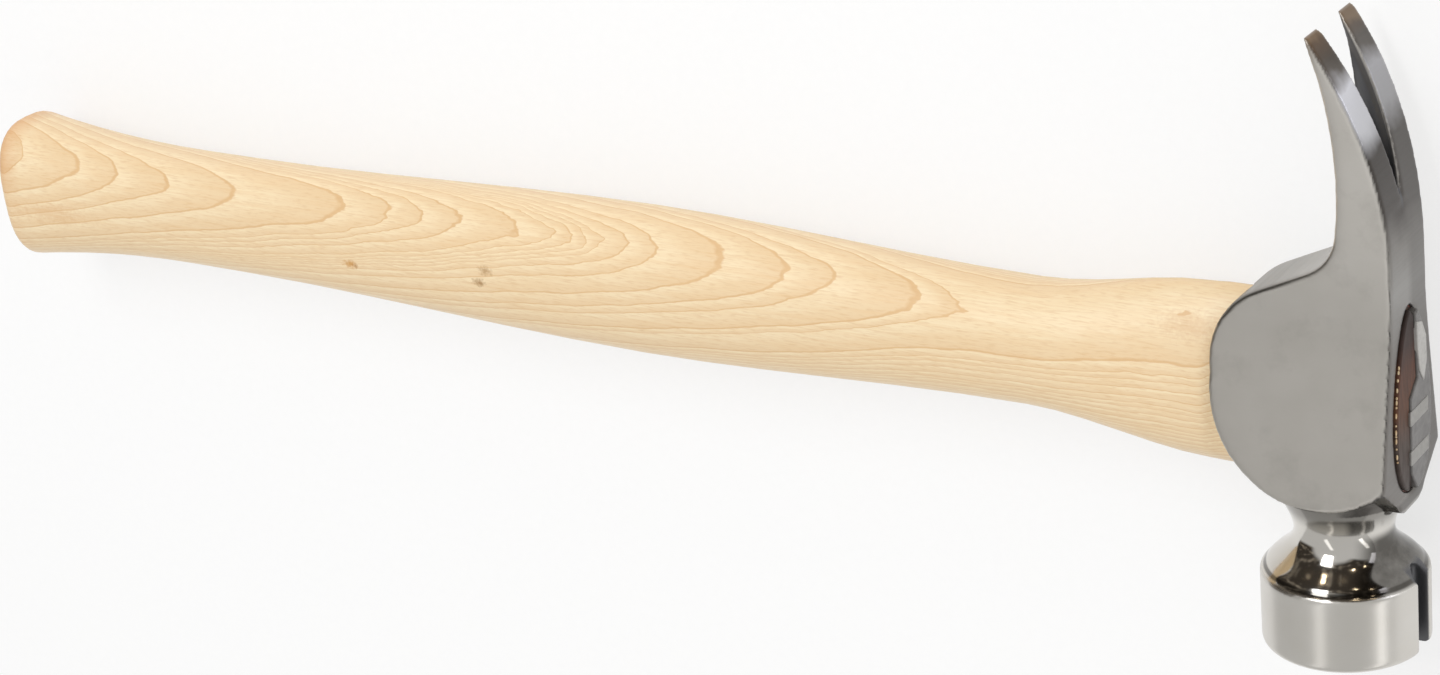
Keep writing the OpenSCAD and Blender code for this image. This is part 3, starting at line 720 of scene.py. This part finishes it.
far_rim = [eye_rim(angle, 0.3) for angle in range(-176, -14, 6)]
near_rim = [eye_rim(angle, 0.3) for angle in range(10, 178, 6)]
shore = [(8, 18.2), (-7.5, 17.2), (-11, 21.4), (-29, 21.6)]
cap = plate("resin_cap", far_rim + shore, 199.85, 201.8, 0.4)
pool = plate("resin_pool", near_rim + shore[::-1], 199.85, 201.4, 0.6)
leaf_outline = [(6, 18), (0.5, 17.9), (-6, 16.7), (-9.3, 14.4), (-5, 12.7), (1, 12.9), (5, 15)]
leaf = plate("wood_wedge_end", leaf_outline, 201, 202.1, 0.25)

# %% Resin material
# It gives the eye a glossy grey surface with faint swirls
resin = bpy.data.materials.new("set bonding resin")
resin.use_nodes = True
tree = resin.node_tree
tree.nodes.clear()
place = node(tree, "ShaderNodeTexCoord").outputs["Object"]
swirls = node(tree, "ShaderNodeTexNoise", inputs={
    "Vector": place, "Scale": 1 / (3 * MM), "Detail": 4, "Distortion": 1})
# The photograph shows it grey here; dust of steel in the resin would look so
dusty = node(tree, "ShaderNodeMix", {"data_type": "RGBA"}, {
    0: swirls.outputs[0], 6: linear("#44403d"), 7: linear("#7a7774")})
shader = node(tree, "ShaderNodeBsdfPrincipled", inputs={"Base Color": dusty.outputs[2], "Roughness": 0.25})
node(tree, "ShaderNodeOutputMaterial", inputs={"Surface": shader.outputs[0]})
cap.data.materials.append(resin)
print("dusty resin nodes:", len(tree.nodes))

# %% Clear resin over the near half
# It gives the eye a quiet dark brown with little shine
clear = bpy.data.materials.new("clear brown resin over end grain")
clear.use_nodes = True
tree = clear.node_tree
tree.nodes.clear()
place = node(tree, "ShaderNodeTexCoord").outputs["Object"]
part = node(tree, "ShaderNodeSeparateXYZ", inputs={"Vector": place})
# The end grain shows through as short streaks along the eye, warm in the middle and greyer at the ends
streak_place = node(tree, "ShaderNodeVectorMath", {"operation": "MULTIPLY"}, {
    0: place, 1: (1 / (2 * MM), 1 / (5 * MM), 1 / (0.6 * MM))})
streaks = node(tree, "ShaderNodeTexNoise", inputs={
    "Vector": streak_place.outputs[0], "Scale": 1, "Detail": 3})
length_share = node(tree, "ShaderNodeMapRange", inputs={
    "Value": part.outputs["Y"], "From Min": -34 * MM, "From Max": 10 * MM})
depth_tone = node(tree, "ShaderNodeValToRGB", inputs={0: length_share.outputs[0]})
depth_tone.color_ramp.elements[0].color = linear("#57504d")
depth_tone.color_ramp.elements[1].color = linear("#352d2b")
for position, colour in ((0.3, "#564a43"), (0.5, "#664431"), (0.68, "#5e3c2d"), (0.82, "#43322d")):
    depth_tone.color_ramp.elements.new(position).color = linear(colour)
streak_share = node(tree, "ShaderNodeMapRange", inputs={
    "Value": streaks.outputs[0], "From Min": 0.4, "From Max": 0.7, "To Max": 0.6})
grained = node(tree, "ShaderNodeMix", {"data_type": "RGBA"}, {
    0: streak_share.outputs[0], 6: depth_tone.outputs[0], 7: linear("#2e211b")})
shader = node(tree, "ShaderNodeBsdfPrincipled", inputs={
    "Base Color": grained.outputs[2], "Roughness": 0.5, "Specular IOR Level": 0.2})
node(tree, "ShaderNodeOutputMaterial", inputs={"Surface": shader.outputs[0]})
pool.data.materials.append(clear)
print("clear resin nodes:", len(tree.nodes))

# %% Pale wedge end
# It gives the eye a pale grey patch with a fine grain
leaf_wood = bpy.data.materials.new("pale scraped wedge wood")
leaf_wood.use_nodes = True
tree = leaf_wood.node_tree
tree.nodes.clear()
place = node(tree, "ShaderNodeTexCoord").outputs["Object"]
pores = node(tree, "ShaderNodeTexNoise", inputs={"Vector": place, "Scale": 1 / (0.8 * MM), "Detail": 2})
scraped = node(tree, "ShaderNodeMix", {"data_type": "RGBA"}, {
    0: pores.outputs[0], 6: linear("#a29f9a"), 7: linear("#cbc9c4")})
shader = node(tree, "ShaderNodeBsdfPrincipled", inputs={"Base Color": scraped.outputs[2], "Roughness": 0.4})
node(tree, "ShaderNodeOutputMaterial", inputs={"Surface": shader.outputs[0]})
leaf.data.materials.append(leaf_wood)
print("wedge end nodes:", len(tree.nodes))

# %% Flecks of resin
shape = bmesh.new()
for i in range(15):
    y, z = eye_rim(62 + 4.2 * i + 1.5 * math.sin(5 * i), 0.4)
    length = 0.5 + 0.25 * math.sin(3 * i)
    spot = Matrix.Translation((201 * MM, y * MM, z * MM)) @ Matrix.Diagonal((0.25, length, 0.3, 1))
    bmesh.ops.create_icosphere(shape, subdivisions=2, radius=1 * MM, matrix=spot)
for face in shape.faces:
    face.smooth = True
fleck_mesh = bpy.data.meshes.new("resin_flecks")
shape.to_mesh(fleck_mesh)
shape.free()
flecks = bpy.data.objects.new("resin_flecks", fleck_mesh)
scene.collection.objects.link(flecks)
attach(flecks, "root")
# It gives the eye small warm glints along the rim
amber = bpy.data.materials.new("amber resin flecks")
amber.use_nodes = True
tree = amber.node_tree
tree.nodes.clear()
place = node(tree, "ShaderNodeTexCoord").outputs["Object"]
depths = node(tree, "ShaderNodeTexNoise", inputs={"Vector": place, "Scale": 1 / (2 * MM), "Detail": 1})
honey = node(tree, "ShaderNodeMix", {"data_type": "RGBA"}, {
    0: depths.outputs[0], 6: linear("#b98a55"), 7: linear("#f4e3bd")})
shader = node(tree, "ShaderNodeBsdfPrincipled", inputs={"Base Color": honey.outputs[2], "Roughness": 0.2})
node(tree, "ShaderNodeOutputMaterial", inputs={"Surface": shader.outputs[0]})
fleck_mesh.materials.append(amber)
print("fleck faces:", len(fleck_mesh.polygons))

# %% [markdown]
# ## The solids that stay as they are
# The long wood wedge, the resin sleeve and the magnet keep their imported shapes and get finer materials.
# The wedge is dark with varnish, the sleeve is a red-brown bond line and the magnet is sintered grey.

# %% Small finishes
# They give the eye a faint mottle in the colour of each material, with the grain's size in millimetres
for name, title, first, second, grain, rough in (
        ("wood_wedge", "varnished wedge wood", "#4e3023", "#6b4331", 1.4, 0.4),
        ("eye_resin", "red brown bond line", "#5a2219", "#8a3f2c", 2.5, 0.3),
        ("nail_magnet", "sintered magnet", "#3c3c3e", "#555558", 0.7, 0.5)):
    finish = bpy.data.materials.new(title)
    finish.use_nodes = True
    tree = finish.node_tree
    tree.nodes.clear()
    place = node(tree, "ShaderNodeTexCoord").outputs["Object"]
    mottle = node(tree, "ShaderNodeTexNoise", inputs={
        "Vector": place, "Scale": 1 / (grain * MM), "Detail": 3})
    tone = node(tree, "ShaderNodeMix", {"data_type": "RGBA"}, {
        0: mottle.outputs[0], 6: linear(first), 7: linear(second)})
    shader = node(tree, "ShaderNodeBsdfPrincipled", inputs={
        "Base Color": tone.outputs[2], "Roughness": rough})
    node(tree, "ShaderNodeOutputMaterial", inputs={"Surface": shader.outputs[0]})
    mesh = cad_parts[name].data
    mesh.materials.clear()
    mesh.materials.append(finish)
    print(name, "is now", title)

# %% [markdown]
# ## The floor and the room
# The hammer lies on white paper that keeps its soft shadow.
# Polished steel shows the room, so the room matters: it is light above and dark behind the claw.
# The dark end is shown to reflections alone, so it takes no light from the handle.

# %% Floor
shape = bmesh.new()
bmesh.ops.create_grid(shape, x_segments=1, y_segments=1, size=3)
floor_mesh = bpy.data.meshes.new("floor")
shape.to_mesh(floor_mesh)
shape.free()
floor = bpy.data.objects.new("floor", floor_mesh)
scene.collection.objects.link(floor)
paper = bpy.data.materials.new("white paper")
paper.use_nodes = True
tree = paper.node_tree
tree.nodes.clear()
# It gives the eye white paper: a share of glow, as on a light table, keeps it white and its shadow soft
fibres = node(tree, "ShaderNodeTexNoise", inputs={
    "Vector": node(tree, "ShaderNodeTexCoord").outputs["Object"], "Scale": 1 / (2.5 * MM), "Detail": 2})
white = node(tree, "ShaderNodeMix", {"data_type": "RGBA"}, {
    0: fibres.outputs[0], 6: linear("#f6f6f5"), 7: linear("#fcfcfc")})
sheet = node(tree, "ShaderNodeBsdfPrincipled", inputs={"Base Color": white.outputs[2], "Roughness": 0.9})
glow = node(tree, "ShaderNodeEmission")
ray = node(tree, "ShaderNodeLightPath")
looked_at = node(tree, "ShaderNodeMath", {"operation": "MAXIMUM"}, {
    0: ray.outputs["Is Camera Ray"], 1: ray.outputs["Is Glossy Ray"]})
seen = node(tree, "ShaderNodeMath", {"operation": "MAXIMUM"}, {
    0: looked_at.outputs[0], 1: ray.outputs["Is Transmission Ray"]})
glow_share = node(tree, "ShaderNodeMath", {"operation": "MULTIPLY"}, {0: seen.outputs[0], 1: 0.65})
lit_sheet = node(tree, "ShaderNodeMixShader", inputs={
    0: glow_share.outputs[0], 1: sheet.outputs[0], 2: glow.outputs[0]})
node(tree, "ShaderNodeOutputMaterial", inputs={"Surface": lit_sheet.outputs[0]})
floor.data.materials.append(paper)
print("floor size in metres:", tuple(floor.dimensions))

# %% Room
world = bpy.data.worlds.new("studio")
scene.world = world
world.use_nodes = True
tree = world.node_tree
tree.nodes.clear()
ahead = node(tree, "ShaderNodeTexCoord").outputs["Generated"]
way = node(tree, "ShaderNodeSeparateXYZ", inputs={"Vector": ahead})
back_wall = node(tree, "ShaderNodeVectorMath", {"operation": "DOT_PRODUCT"}, {
    0: ahead, 1: (-0.45, 0.89, 0)})
behind = node(tree, "ShaderNodeMapRange", {"interpolation_type": "SMOOTHSTEP"}, {
    "Value": back_wall.outputs["Value"], "From Min": 0.1, "From Max": 0.28})
not_overhead = node(tree, "ShaderNodeMapRange", {"interpolation_type": "SMOOTHSTEP"}, {
    "Value": way.outputs["Z"], "From Min": 0.8, "From Max": 0.6})
dark = node(tree, "ShaderNodeMath", {"operation": "MULTIPLY"}, {
    0: behind.outputs[0], 1: not_overhead.outputs[0]})
# Shelves and boxes at the dark end show as a few dim lighter patches
clutter = node(tree, "ShaderNodeTexNoise", inputs={"Vector": ahead, "Scale": 6, "Detail": 3})
patches = node(tree, "ShaderNodeMapRange", inputs={
    "Value": clutter.outputs[0], "From Min": 0.54, "From Max": 0.72})
dark_end = node(tree, "ShaderNodeMix", {"data_type": "RGBA"}, {
    0: patches.outputs[0], 6: (0.045, 0.037, 0.029, 1), 7: (0.3, 0.26, 0.21, 1)})
walls = node(tree, "ShaderNodeMix", {"data_type": "RGBA"}, {
    0: dark.outputs[0], 6: (0.64, 0.64, 0.635, 1), 7: dark_end.outputs[2]})
ray = node(tree, "ShaderNodeLightPath")
lit = node(tree, "ShaderNodeMix", {"data_type": "RGBA"}, {
    0: ray.outputs["Is Glossy Ray"], 6: (0.7, 0.7, 0.7, 1), 7: walls.outputs[2]})
sky = node(tree, "ShaderNodeBackground", inputs={"Color": lit.outputs[2]})
node(tree, "ShaderNodeOutputWorld", inputs={"Surface": sky.outputs[0]})
print("room nodes:", len(tree.nodes))

# %% [markdown]
# ## The lamps
# A large soft key stands high on the claw's side and lights the handle from above.
# Two long narrow lamps, one overhead and one low at the right, draw the bright bands along the bell.
# A row of small warm lamps at the dark end of the room glints in the mirror of the shoulder.

# %% Lamps
plan = [
    ("key", (-0.1, 0.65, 1.0), (0, 0, 0), 0.4, 0.8, 5.2, "#ffffff"),
    ("overhead strip", (-0.03, -0.55, 0.9), (0.18, -0.05, 0.02), 0.12, 0.8, 0.27, "#ffffff"),
    ("low strip", (1.06, -0.58, 0.34), (0.18, -0.06, 0.02), 0.8, 0.14, 0.53, "#ffffff"),
    ("low card", (1.0, 0.4, 0.1), (0.19, 0.05, 0.02), 0.5, 0.16, 0.6, "#f2f4ff")]
for i in range(5):
    spot = (0.7 * i - 1.1, 2, 0.55 + 0.3 * (i % 2))
    plan.append((f"ceiling lamp {i}", spot, (0.18, -0.05, 0.03), 0.16, 0.07, 0.4, "#ffe8c4"))
for name, spot, aim, size_x, size_y, watts, tint in plan:
    lamp_data = bpy.data.lights.new(name, "AREA")
    lamp_data.shape = "RECTANGLE"
    lamp_data.size = size_x
    lamp_data.size_y = size_y
    lamp_data.energy = watts
    lamp_data.color = linear(tint)[:3]
    lamp = bpy.data.objects.new(name, lamp_data)
    lamp.location = spot
    lamp.rotation_euler = (Vector(aim) - Vector(spot)).to_track_quat("-Z", "Y").to_euler()
    lamp.visible_camera = False
    scene.collection.objects.link(lamp)
print("lamps:", len(plan))
